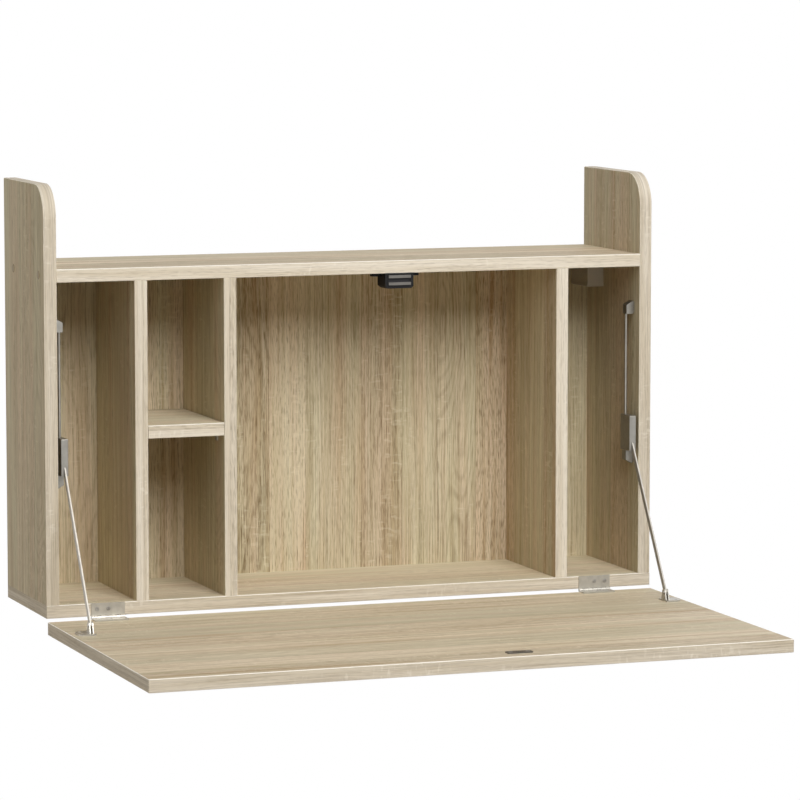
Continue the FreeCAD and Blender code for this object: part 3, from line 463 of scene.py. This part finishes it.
def addScrews():
    mm = {name: length / 1000 for name, length in screwPlaces.items()}
    for side, hand in (("left", 1), ("right", -1)):
        low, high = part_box(f"{side}_hinge_cabinet_plate")
        for step in (0, 1):
            x = (low.x + high.x) / 2 - hand * step * mm["hingeSpread"]
            upper = np.array([x, corner[1] - mm["upperSeat"],
                              corner[2] - mm["hingeSetback"] + mm["hingeReach"]])
            lower = np.array([x, corner[1] - mm["hingeSetback"] - mm["hingeReach"],
                              corner[2] - mm["lowerSeat"]])
            screwHead(f"{side}_hinge_screw_upper_{step}", upper, (0, -1, 0), (1, 0, 0), "cabinet")
            screwHead(f"{side}_hinge_screw_lower_{step}", lower, (0, 0, 1), (1, 0, 0), "leaf")
        low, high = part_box(f"{side}_leaf_bracket")
        outer = low.x if hand > 0 else high.x
        for step, sign in enumerate((-1, 1)):
            spot = np.array([outer + hand * mm["bracketIn"], (low.y + high.y) / 2 + sign * mm["bracketHalf"],
                             low.z + mm["bracketSeat"]])
            screwHead(f"{side}_bracket_screw_{step}", spot, (0, 0, 1), (1, 0, 0), "leaf")
        low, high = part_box(f"{side}_wall_plate")
        for step, sign in enumerate((-1, 1)):
            spot = np.array([(low.x + high.x) / 2, high.y - mm["wallSeat"],
                             (low.z + high.z) / 2 + sign * mm["wallHalf"]])
            screwHead(f"{side}_wall_screw_{step}", spot, (0, -1, 0), (1, 0, 0), "cabinet", wallScrewSize)
    low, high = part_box("strike_plate")
    for step, sign in enumerate((-1, 1)):
        spot = np.array([(low.x + high.x) / 2 + sign * mm["strikeHalf"], (low.y + high.y) / 2, high.z])
        screwHead(f"strike_screw_{step}", spot, (0, 0, 1), (1, 0, 0), "leaf")
    low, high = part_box("catch_housing")
    for step, x in enumerate((low.x + mm["catchIn"], high.x - mm["catchIn"])):
        spot = np.array([x, low.y + mm["catchBack"], high.z - mm["catchDown"]])
        screwHead(f"catch_screw_{step}", spot, (0, 0, -1), (1, 0, 0), "cabinet", catchScrewSize, flush=False)


addScrews()
print("screws set")

# a wide softbox high in front, a weak one above, one low at the right rear, and a low fill from the left;
# angles in degrees
studio = {"floorDrop": 0.72, "floorHalf": 60.0, "floorColour": "#c6beb1", "floorRough": 0.9,
          "fadeFrom": 0.7, "fadeTo": 1.9, "glowLeast": 0.5, "ambient": 0.045, "middle": (450, 0, 250)}
lamps = {
    "keyLamp": {"power": 254.0, "wide": 2.75, "high": 3.25, "distance": 5.0,
                "azimuth": 2.0, "elevation": 40.0, "colour": "#ffffff"},
    "topLamp": {"power": 8.0, "wide": 1.6, "high": 1.6, "distance": 3.0,
                "azimuth": 0.0, "elevation": 78.0, "colour": "#ffffff"},
    "backLamp": {"power": 30.0, "wide": 2.4, "high": 1.6, "distance": 4.5,
                 "azimuth": 130.0, "elevation": 5.0, "colour": "#ffffff"},
    "fillLamp": {"power": 37.0, "wide": 2.4, "high": 2.4, "distance": 4.5,
                 "azimuth": -90.0, "elevation": 12.0, "colour": "#fffbf5"},
}
lens = {"azimuth": -20.16, "elevation": 6.17, "distance": 5.866, "focal": 187.61, "sensor": 36.0,
        "reach": 200, "target": (516, 0, 283)}


# 1 for camera, glossy and transmission rays, 0 for the rays that light things
def seenRays(tree):
    path = addNode(tree, "LightPath").outputs
    seen = addNode(tree, "Math", {0: path["Is Camera Ray"], 1: path["Is Glossy Ray"]}, operation="ADD")
    return addNode(tree, "Math", {0: seen, 1: path["Is Transmission Ray"]}, operation="ADD", use_clamp=True)


# A wide pale square. Near the object it is matt paint, which keeps the shadow, and further out it fades into
# the white of the background, by the distance from the middle.
def makeFloor():
    half, height = studio["floorHalf"], cadLow.z - studio["floorDrop"]
    corners = np.array([[-half, -half, height], [half, -half, height],
                        [half, half, height], [-half, half, height]])
    mesh = bpy.data.meshes.new("floor")
    mesh.from_pydata(corners.tolist(), [], [[0, 1, 2, 3]])
    floor = bpy.data.objects.new("floor", mesh)
    bpy.context.scene.collection.objects.link(floor)
    material, tree = newMaterial("paleFloorPaint")
    where = addNode(tree, "TexCoord").outputs["Object"]
    onFloor = addNode(tree, "VectorMath", {0: where, 1: (1, 1, 0)}, operation="MULTIPLY")
    distance = addNode(tree, "VectorMath", {0: onFloor}, operation="LENGTH").outputs["Value"]
    away = addNode(tree, "MapRange", {"Value": distance, "From Min": studio["fadeFrom"],
                                      "From Max": studio["fadeTo"], "To Min": studio["glowLeast"]})
    away = addNode(tree, "Math", {0: away, 1: seenRays(tree)}, operation="MULTIPLY")
    paint = addNode(tree, "BsdfPrincipled", {"Base Color": linear(studio["floorColour"]),
                                             "Roughness": studio["floorRough"]})
    glow = addNode(tree, "Emission", {"Color": (1, 1, 1, 1), "Strength": 1.0})
    mixed = addNode(tree, "MixShader", {0: away, 1: paint, 2: glow})
    # from below the floor is clear, so that the underside can be looked at
    under = addNode(tree, "NewGeometry").outputs["Backfacing"]
    mixed = addNode(tree, "MixShader", {0: under, 1: mixed, 2: addNode(tree, "BsdfTransparent").outputs[0]})
    addNode(tree, "OutputMaterial", {"Surface": mixed})
    mesh.materials.append(material)


def makeWorld():
    world = bpy.data.worlds.new("studioWorld")
    world.use_nodes = True
    tree = world.node_tree
    tree.nodes.clear()
    strength = addNode(tree, "Mix", {"Factor": seenRays(tree), "A": studio["ambient"], "B": 1.0},
                       data_type="FLOAT")
    background = addNode(tree, "Background", {"Color": (1, 1, 1, 1), "Strength": strength})
    addNode(tree, "OutputWorld", {"Surface": background})
    bpy.context.scene.world = world


# unit vector from the object outwards: (sin a cos e, -cos a cos e, sin e)
def direction(azimuth, elevation):
    a, e = math.radians(azimuth), math.radians(elevation)
    return np.array([math.sin(a) * math.cos(e), -math.cos(a) * math.cos(e), math.sin(e)])


def aim(item, spot, target):
    item.location = Vector(spot)
    item.rotation_mode = "QUATERNION"
    item.rotation_quaternion = (Vector(target) - Vector(spot)).to_track_quat("-Z", "Y")


def addLamps():
    middle = fromCorner(*studio["middle"])
    for name, lamp in lamps.items():
        data = bpy.data.lights.new(name, "AREA")
        data.shape = "RECTANGLE"
        data.energy, data.size, data.size_y = lamp["power"], lamp["wide"], lamp["high"]
        data.color = linear(lamp["colour"])[:3]
        item = bpy.data.objects.new(name, data)
        bpy.context.scene.collection.objects.link(item)
        aim(item, middle + direction(lamp["azimuth"], lamp["elevation"]) * lamp["distance"], middle)


# from the left front and a little above, through a long lens
def makeCamera():
    data = bpy.data.cameras.new("camera")
    data.sensor_width = lens["sensor"]
    data.lens = lens["focal"]
    data.clip_end = lens["reach"]
    item = bpy.data.objects.new("camera", data)
    bpy.context.scene.collection.objects.link(item)
    target = fromCorner(*lens["target"])
    aim(item, target + direction(lens["azimuth"], lens["elevation"]) * lens["distance"], target)
    bpy.context.scene.camera = item


makeFloor()
makeWorld()
addLamps()
makeCamera()
bpy.context.scene.view_settings.view_transform = "Standard"
print("studio ready")
